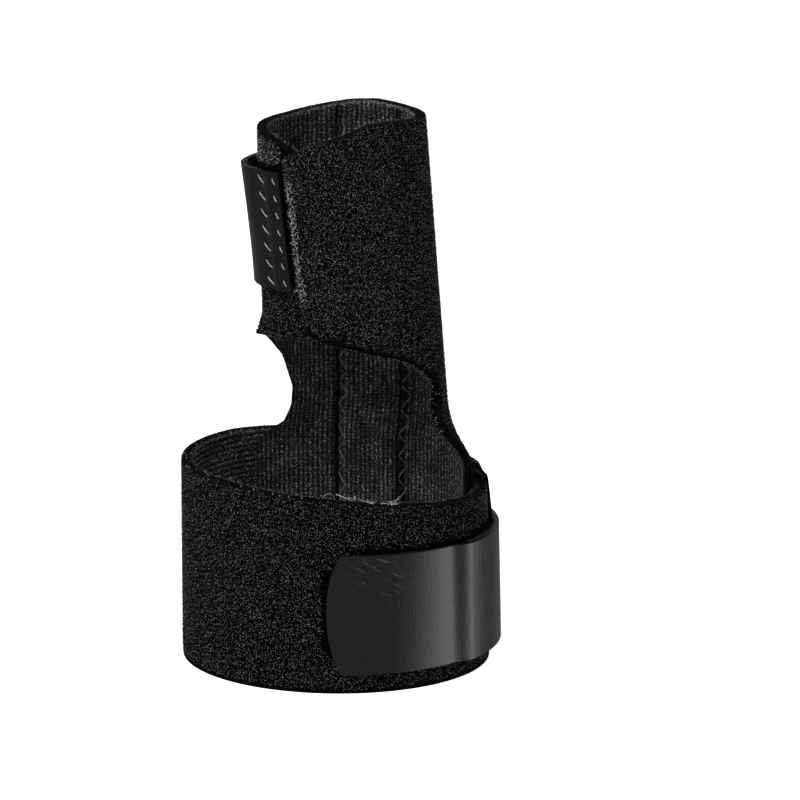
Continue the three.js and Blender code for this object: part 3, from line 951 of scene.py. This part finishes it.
# Loose thread: middle of its arch, from the left seam to the right and above the floor
LOOSE_BESIDE = -3.3
LOOSE_HEIGHT = 26.4
LOOSE_REACH = 1.5
LOOSE_RADIUS = 0.09

# White lint, along the strap's upper edge, which falls to the right
LINT_THREADS = 16
LINT_RADIUS = 0.05
LINT_SPAN = (2.5, 13.0)
LINT_BACK = -22.0
LINT_HEIGHT = 40.2
LINT_FALL = 0.1

# Two columns of stitches in the small tab's sewn end
TAPE_STITCHES = 7
TAPE_STROKES = (
    {"near": 0.8, "far": 1.3, "rise": 1.2},
    {"near": 3.4, "far": 4.9, "rise": 1.4},
)
TAPE_STROKE_BOW = 0.14
TAPE_STROKE_SUNK = 0.04


def carry(obj, slot_name, *nodes):
    """Puts a piece on the frame, in place of its CAD nodes."""
    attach(obj, "root")
    if nodes:
        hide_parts(*nodes)
    return obj


def zigzag(centre, raised):
    """Strokes of a zigzag seam, raised off the ribbed face or, if the number is negative, off the back."""
    low, high = CHANNEL_BASE + SEAM_START, HEIGHT - CHANNEL_INSET
    strokes = []
    rng = np.random.default_rng(int(low + 10 * centre + 1000))
    for k, start in enumerate(np.arange(low, high, SEAM_PITCH / 2)):
        side = 1 if k % 2 else -1
        share = np.linspace(0.03, 0.97, STROKE_POINTS)
        slack = rng.normal(0, STROKE_SLACK, 3)
        along = centre + slack[0] + side * (SEAM_WIDTH + slack[1]) * (share - 0.5)
        z = start + share * SEAM_PITCH / 2 + slack[2]
        outer, inner = panel_points(along, z)
        off = inner - outer
        off /= np.linalg.norm(off, axis=1, keepdims=True)
        bow = np.sin(np.pi * share)[:, None]
        base, away = (inner, off) if raised > 0 else (outer, -off)
        strokes.append(base + away * (abs(raised) * bow - STROKE_SUNK))
    return strokes


def covered_by_flap(along, z):
    """Where the left flap lies under the right one or under the small tab."""
    girth = sleeve_plan(z, along, 0)[2]
    low, high = FINGER_TAB_BASE - BARE_ABOVE, FINGER_TAB_BASE + FINGER_TAB_WIDTH + BARE_ABOVE
    reach = np.where((z > low) & (z < high), FINGER_TAB_LENGTH + 1, BARE_BESIDE)
    return (along + girth < flap_end(z) + reach) & (z > WAIST_HEIGHT)


class SplintSettings(bpy.types.PropertyGroup):
    """Choices for the splint's fabric and its seams."""

    pile_count: bpy.props.IntProperty(
        name="Pile fibres",
        description="Fibres on the outside of the panel and of the strap, each",
        default=52000,
        min=100,
        max=60000,
    )
    pile_length: bpy.props.FloatProperty(
        name="Pile length",
        description="Usual length of a fibre of the pile, in millimetres",
        default=0.65,
        min=0.2,
        max=2.0,
    )
    pile_width: bpy.props.FloatProperty(
        name="Pile width",
        description="Usual width of a fibre of the pile, in millimetres",
        default=0.06,
        min=0.02,
        max=0.2,
    )
    lint_count: bpy.props.IntProperty(
        name="Lint fibres",
        description="Pale fibres along the cut edges of the ribbed lining",
        default=1500,
        min=100,
        max=20000,
    )
    thread_radius: bpy.props.FloatProperty(
        name="Thread radius",
        description="Radius of the sewing thread, in millimetres",
        default=0.14,
        min=0.05,
        max=0.4,
    )


class StageSettings(bpy.types.PropertyGroup):
    """Choices for the light round the splint."""

    key_power: bpy.props.FloatProperty(
        name="Key light",
        description="Power of the large soft light, in watts",
        default=13.0,
        min=0.0,
    )
    side_power: bpy.props.FloatProperty(
        name="Side light",
        description="Power of the faint light from the right, in watts",
        default=1.0,
        min=0.0,
    )
    card: bpy.props.FloatProperty(
        name="Card",
        description="Brightness of the card that the large tab mirrors",
        default=3.0,
        min=0.0,
    )
    sky: bpy.props.FloatProperty(
        name="Surroundings",
        description="Brightness of the plain surroundings on the object",
        default=0.24,
        min=0.0,
    )


def pile_count():
    count = bpy.context.scene.splint.pile_count
    return count


def pile_form(count, rise):
    settings = bpy.context.scene.splint
    return {"count": count, "length": settings.pile_length, "width": settings.pile_width, "rise": rise}


def panel_pile(grid):
    """Pile on the panel's outside, its rim and its right edge, with paler fray round the flap's end; the
    pale tuft beside the small tab is partly a painted highlight.
    """
    outer, inner, along, z = grid

    def shows(a, h):
        steps = (-BARE_EDGE, BARE_EDGE)
        below, above = (panel_reach(h + off, "right", RIGHT_WAIST, RIGHT_FLARE) for off in steps)
        inside_edge = (a < np.minimum(below, above) - 0.5) | (h > SLEEVE_BASE)
        tongue = (a > flap_end(h) - 0.8) & (h > FINGER_TAB_BASE)
        return (h > STRAP_WIDTH - 3) & inside_edge & ~covered_by_flap(a, h) & ~tongue

    # Strip where the pile rises beside the small tab: real fibres, paled as a painted highlight of the
    # light catching the rise.
    def highlight_beside_tab(a, h):
        strip = (a > flap_end(h) - 3.2) & (a < flap_end(h) - 1.2)
        return strip & (h > FINGER_TAB_BASE - 2) & (h < FINGER_TAB_BASE + 22)

    def above_tab(a, h):
        past_end = a + sleeve_plan(h, a, 0)[2] - flap_end(h)
        top = FINGER_TAB_BASE + FINGER_TAB_WIDTH
        return (past_end > 0.5) & (past_end < 12) & (h > top + 0.5) & (h < top + 5)

    rim = edge_grid(outer[-1], inner[-1], UP, along[-1], z[-1])
    aside = outer[:, -1] - outer[:, -2]
    aside /= np.linalg.norm(aside, axis=1, keepdims=True)
    edge = edge_grid(outer[:, -1], inner[:, -1], aside, along[:, -1], z[:, -1])

    def on_rim(a, h):
        return np.ones_like(a)

    def above_strap(a, h):
        return h > STRAP_WIDTH - 8

    def frayed_edge(a, h):
        return h > STRAP_WIDTH + 6

    pile, rim_form = pile_form(pile_count(), PILE_RISE), pile_form(RIM_FIBRES, EDGE_RISE)
    edge_form = pile_form(RIGHT_EDGE_FIBRES, EDGE_RISE)
    parts = [
        fibres("panel_pile", grid, plain("Pile"), 11, shows, **pile),
        fibres("rim_pile", rim, plain("Edge_pile"), 13, on_rim, **rim_form),
        fibres("right_pile", edge, plain("Edge_pile"), 14, above_strap, **edge_form),
        # The pale tuft is partly fray and partly a painted highlight on the pile's rise.
        fibres("tuft", grid, plain("Tuft"), 15, highlight_beside_tab, count=150, **{**TUFT, "length": 0.8}),
        fibres("flap_fray", edge, plain("Tuft"), 16, frayed_edge, count=130, **TUFT),
        fibres("tab_fray", grid, plain("Tuft"), 17, above_tab, count=70, **TUFT),
    ]
    return joined("panel_pile", parts)


def panel_fray(grid):
    """Pale fibres on the ribbed face, along its right edge and its rim."""
    right = grid[2][:, -1:]

    def frayed(a, h):
        side = (right[: len(h)] - a) < 0.6
        rim = rim_height(a) - h < 0.5
        return (side | rim) & (h > STRAP_WIDTH - 12)

    form = {**FRAY, "count": bpy.context.scene.splint.lint_count, "length": 0.75}
    return fibres("panel_fray", grid, plain("Fray"), 12, frayed, inside=True, **form)


def channel_seam(name, thread, raised):
    """Both zigzag seams beside the channel, on one face of the panel."""
    half = CHANNEL_WIDTH / 2
    paths = [stroke for side in (-half, half) for stroke in zigzag(side, raised)]
    return threads(name, paths, bpy.context.scene.splint.thread_radius, plain(thread))


def loose_thread():
    """A loose end of thread that arches over the strap's edge, left of the channel."""
    turn = np.linspace(0, np.pi, 22)
    along = -CHANNEL_WIDTH / 2 + LOOSE_BESIDE + LOOSE_REACH * np.cos(turn)
    outer, inner = panel_points(along, LOOSE_HEIGHT + LOOSE_REACH * np.sin(turn))
    off = (inner - outer) / np.linalg.norm(inner - outer, axis=1, keepdims=True)
    arch = 0.2 + 0.8 * np.sin(turn / 1.6)[:, None] ** 2
    return threads("loose_thread", [inner + off * arch], LOOSE_RADIUS, plain("Lint"))


def build_panel():
    grid = panel_grid()
    materials = [plush(), knit("Panel_knit", PANEL_KNIT_GREY, True), cut_edge()]
    body = carry(wall("panel_fabric", grid, materials), "padded_fabric", "finger_panel")
    extras = [
        panel_pile(grid),
        panel_fray(grid),
        channel_seam("channel_seams", "Seam_thread", SEAM_RAISED),
        channel_seam("channel_back_seams", "Dark_thread", BACK_RAISED),
        loose_thread(),
    ]
    for extra in extras:
        carry(extra, "padded_fabric")
    return body


def strap_pile(grid):
    """Pile on the strap's outside and its upper edge, with none under the large tab, and paler fray."""
    outer, inner, along, z = grid

    def shows(a, h):
        tab_end, tab_top = HAND_TAB_START + HAND_TAB_LENGTH, HAND_TAB_BASE + HAND_TAB_WIDTH
        beside = (a > HAND_TAB_START - BARE_BESIDE) & (a < tab_end + BARE_BESIDE)
        under_tab = beside & (h > HAND_TAB_BASE - BARE_ABOVE) & (h < tab_top + BARE_ABOVE)
        end = np.clip((a - HAND_TAB_START - HAND_TAB_LENGTH + HAND_TAB_ROUND) / HAND_TAB_ROUND, 0, 1)
        middle = HAND_TAB_BASE + HAND_TAB_WIDTH / 2
        rounded = np.abs(h - middle) > HAND_TAB_WIDTH / 2 * (1 - 0.35 * end)
        sewn = a > LOOP_GIRTH + HAND_TAB_START - 1.0
        bare = (under_tab & (~rounded | (end == 0))) | sewn
        return ~bare & (a > -NARROW_START) & (h > BARE_FOOT)

    def in_front(a, h):
        return (a > LOOP_GIRTH / 4) & (a < LOOP_GIRTH - NARROW_START)

    def end_border(a, h):
        return (a > LOOP_GIRTH - 24) & (a < LOOP_GIRTH - NARROW_START + 2) & (strap_top(a) - h < 1.0)

    def before_end(a, h):
        return a < LOOP_GIRTH - NARROW_END

    edge = edge_grid(outer[-1], inner[-1], UP, along[-1], z[-1])
    pile, edge_form = pile_form(pile_count(), PILE_RISE), pile_form(RIM_FIBRES, EDGE_RISE)
    parts = [
        fibres("strap_pile", grid, plain("Pile"), 21, shows, **pile),
        fibres("edge_pile", edge, plain("Edge_pile"), 24, before_end, **edge_form),
        fibres("edge_fray", edge, plain("Tuft"), 26, in_front, count=110, **TUFT),
        fibres("end_fray", grid, plain("Tuft"), 25, end_border, count=60, **TUFT),
    ]
    return joined("strap_pile", parts)


def strap_fray(grid):
    """Pale fibres on the strap's ribbed face, along its upper edge."""

    def frayed(a, h):
        return (strap_top(a) - h < 0.7) & (a < LOOP_GIRTH - NARROW_START)

    form = {**FRAY, "count": bpy.context.scene.splint.lint_count // 2, "length": 0.7}
    return fibres("strap_fray", grid, plain("Fray"), 22, frayed, inside=True, **form)


def strap_lint():
    """White lint caught on the strap's upper edge, in front."""
    rng = np.random.default_rng(23)
    share = np.linspace(0, 1, 12)[:, None]
    paths = []
    for _ in range(LINT_THREADS):
        across = rng.uniform(*LINT_SPAN)
        back = LINT_BACK + rng.uniform(-0.6, 1.0)
        start = np.array([across, back, LINT_HEIGHT - LINT_FALL * across + rng.uniform(0, 0.6)])
        reach = rng.normal(size=3) * [1.0, 0.4, 0.6]
        bend = rng.normal(size=3) * [0.8, 0.4, 0.5]
        paths.append(start + reach * share + bend * np.sin(np.pi * share))
    return threads("strap_lint", paths, LINT_RADIUS, plain("White_lint"))


def build_strap():
    grid = strap_grid()
    materials = [plush(), knit("Strap_knit", STRAP_KNIT_GREY, False), cut_edge()]
    body = wall("strap_fabric", grid, materials, ribs_upright=False)
    carry(body, "padded_fabric", "hand_strap")
    extras = [strap_pile(grid), strap_fray(grid), strap_lint()]
    for extra in extras:
        carry(extra, "padded_fabric")
    return body


def build_hand_tab():
    grid = hand_tab_grid()
    tape = satin("Satin_tape", LARGE_TAB_SHINE)
    body = carry(wall("hand_tape", grid, [tape, tape, tape]), "hook_tape", "hand_tab")
    top = HAND_TAB_BASE + HAND_TAB_WIDTH

    def free_edge(a, h):
        return (h > top - 1.6) & (a > HAND_TAB_START) & (a < TONGUE)

    form = {**HOOK, "count": 700, "length": 0.9}
    hooks = fibres("hand_hooks", grid, plain("Hooks"), 31, free_edge, inside=True, **form)
    carry(hooks, "hook_tape")
    return body


def tape_stitches():
    """Two columns of slanted stitches through the small tab's sewn end."""
    share = np.linspace(0, 1, STROKE_POINTS)
    paths = []
    for k in range(TAPE_STITCHES):
        middle = FINGER_TAB_BASE + FINGER_TAB_WIDTH / 2 + (k - TAPE_STITCHES // 2) * STITCH_PITCH
        for stroke in TAPE_STROKES:
            z = middle + (share - 0.5) * stroke["rise"]
            along = flap_end(z) + GAP + mix(stroke["near"], stroke["far"], share)
            bow = TAPE_STROKE_BOW * np.sin(np.pi * share)
            lift = finger_tab_lift(along, z) + TAPE + bow - TAPE_STROKE_SUNK
            paths.append(finger_tab_place(along, z, lift))
    # The stitches' pale grey is a painted glint on dark thread.
    return threads("tape_stitches", paths, bpy.context.scene.splint.thread_radius, plain("Painted_glint_thread"))


def build_finger_tab():
    grid = finger_tab_grid()
    tape = satin("Dull_tape", SMALL_TAB_SHINE)
    body = carry(wall("finger_tape", grid, [tape, tape, tape]), "hook_tape", "finger_tab")
    stitches = tape_stitches()

    def hollow(a, h):
        start = flap_end(h) + GAP + TONGUE_REACH
        return (a > start) & (a < start + 14) & (h > FINGER_TAB_BASE + FINGER_TAB_WIDTH - 4)

    form = {**HOOK, "count": 500, "length": 0.8}
    hooks = fibres("finger_hooks", grid, plain("Hooks"), 41, hollow, inside=True, **form)
    extras = [carry(o, "hook_tape") for o in (stitches, hooks)]
    return body


# Stage

FLOOR_GLOW = 0.5  # the floor's own light on the object
FLOOR_SEEN = 0.8  # and to the camera
SURROUNDINGS_SEEN = 1.05

# Where the card lies in the surroundings, and how wide it is
CARD_TURN = math.radians(75)
CARD_FALL = math.radians(17)
CARD_EDGE = math.radians(27)
CARD_CORE = math.radians(16)


def aimed_light(name, place, target, size, power):
    """A square area light at a place, turned to a target."""
    bpy.ops.object.light_add(type="AREA", location=place)
    light = bpy.context.active_object
    light.name = name
    light.data.shape = "RECTANGLE"
    light.data.size, light.data.size_y = size, size
    light.data.energy = power
    aim = np.array(target) - np.array(place)
    tilt = math.atan2(math.hypot(aim[0], aim[1]), -aim[2])
    light.rotation_euler = (tilt, 0, math.atan2(aim[1], aim[0]) - math.pi / 2)


def build_stage():
    """Pale floor and surroundings, soft lights and the camera."""
    settings = bpy.context.scene.splint_stage
    bpy.ops.mesh.primitive_plane_add(size=6, location=(0, 0, 0))
    floor = bpy.context.active_object
    floor.name = "floor"
    material = bpy.data.materials.new("Floor")
    material.use_nodes = True
    tree = material.node_tree
    surface = tree.nodes["Principled BSDF"]
    surface.inputs["Base Color"].default_value = (0.92, 0.92, 0.92, 1)
    surface.inputs["Roughness"].default_value = 0.9
    surface.inputs["Emission Color"].default_value = (1, 1, 1, 1)
    seen = add(tree, "ShaderNodeLightPath").outputs["Is Camera Ray"]
    tree.links.new(between(tree, seen, FLOOR_GLOW, FLOOR_SEEN), surface.inputs["Emission Strength"])
    floor.data.materials.append(material)
    floor.visible_glossy = False
    floor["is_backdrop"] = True

    world = bpy.data.worlds.new("Surroundings")
    bpy.context.scene.world = world
    world.use_nodes = True
    tree = world.node_tree
    back = tree.nodes["Background"]
    towards = add(tree, "ShaderNodeTexCoord").outputs["Generated"]
    facing = add(tree, "ShaderNodeVectorMath", operation="DOT_PRODUCT")
    tree.links.new(towards, facing.inputs[0])
    level = math.cos(CARD_FALL)
    card_way = (math.sin(CARD_TURN) * level, -math.cos(CARD_TURN) * level, -math.sin(CARD_FALL))
    facing.inputs[1].default_value = card_way
    card = step(tree, facing.outputs["Value"], math.cos(CARD_EDGE), math.cos(CARD_CORE), end=settings.card)
    strength = add(tree, "ShaderNodeMix", data_type="FLOAT")
    path = add(tree, "ShaderNodeLightPath")
    tree.links.new(path.outputs["Is Camera Ray"], strength.inputs["Factor"])
    tree.links.new(maths(tree, "ADD", card, settings.sky), strength.inputs[2])
    strength.inputs[3].default_value = SURROUNDINGS_SEEN
    tree.links.new(strength.outputs[0], back.inputs["Strength"])
    back.inputs["Color"].default_value = (1, 1, 1, 1)

    aimed_light("key", (-0.55, -0.42, 0.85), (0, 0, 0.05), 0.7, settings.key_power)
    aimed_light("side", (0.6, -0.1, 0.5), (0, 0, 0.05), 0.4, settings.side_power)

    bpy.ops.object.camera_add(location=(0.011995, -0.621025, 0.244), rotation=(math.radians(73), 0, 0))
    camera = bpy.context.active_object
    camera.name = "camera"
    camera.data.lens = 145.1
    camera.data.sensor_width = 36
    bpy.context.scene.camera = camera
    bpy.context.scene.view_settings.view_transform = "Standard"
    return camera


def built(work):
    """Runs one piece's builder and raises an error if nothing came of it."""
    if work() is None:
        raise RuntimeError("the piece wasn't built")
    return {"FINISHED"}


class SPLINT_OT_panel(bpy.types.Operator):
    """Build the finger panel with its pile, fray and seams"""

    bl_idname = "splint.panel"
    bl_label = "Finger panel"

    def execute(self, context):
        return built(build_panel)


class SPLINT_OT_strap(bpy.types.Operator):
    """Build the hand strap with its pile and lint"""

    bl_idname = "splint.strap"
    bl_label = "Hand strap"

    def execute(self, context):
        return built(build_strap)


class SPLINT_OT_hand_tab(bpy.types.Operator):
    """Build the large hook tab on the strap"""

    bl_idname = "splint.hand_tab"
    bl_label = "Large tab"

    def execute(self, context):
        return built(build_hand_tab)


class SPLINT_OT_finger_tab(bpy.types.Operator):
    """Build the small hook tab on the panel with its stitches"""

    bl_idname = "splint.finger_tab"
    bl_label = "Small tab"

    def execute(self, context):
        return built(build_finger_tab)


class SPLINT_OT_stage(bpy.types.Operator):
    """Set up the floor, the light and the camera"""

    bl_idname = "splint.stage"
    bl_label = "Stage"

    def execute(self, context):
        return built(build_stage)


class SPLINT_PT_sidebar(bpy.types.Panel):
    """The splint's settings and its builders"""

    bl_label = "Finger splint"
    bl_idname = "SPLINT_PT_sidebar"
    bl_space_type = "VIEW_3D"
    bl_region_type = "UI"
    bl_category = "Splint"

    def draw(self, context):
        layout = self.layout
        for name in ("pile_count", "pile_length", "pile_width", "lint_count", "thread_radius"):
            layout.prop(context.scene.splint, name)
        for name in ("key_power", "side_power", "card", "sky"):
            layout.prop(context.scene.splint_stage, name)
        for name in OPERATORS:
            layout.operator(f"splint.{name}")


OPERATORS = ("panel", "strap", "hand_tab", "finger_tab", "stage")
CLASSES = (
    SplintSettings,
    StageSettings,
    SPLINT_OT_panel,
    SPLINT_OT_strap,
    SPLINT_OT_hand_tab,
    SPLINT_OT_finger_tab,
    SPLINT_OT_stage,
    SPLINT_PT_sidebar,
)


def register():
    for item in CLASSES:
        bpy.utils.register_class(item)
    bpy.types.Scene.splint = bpy.props.PointerProperty(type=SplintSettings)
    bpy.types.Scene.splint_stage = bpy.props.PointerProperty(type=StageSettings)


def unregister():
    del bpy.types.Scene.splint_stage
    del bpy.types.Scene.splint
    for item in reversed(CLASSES):
        bpy.utils.unregister_class(item)


def corners():
    low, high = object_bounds()
    return [list(low), list(high)]


def main():
    for obj in list(bpy.data.objects):
        if obj.name in ("Cube", "Light", "Camera"):
            bpy.data.objects.remove(obj)
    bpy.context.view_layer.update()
    register()
    for name in OPERATORS:
        getattr(bpy.ops.splint, name)()


if __name__ == "__main__":
    main()
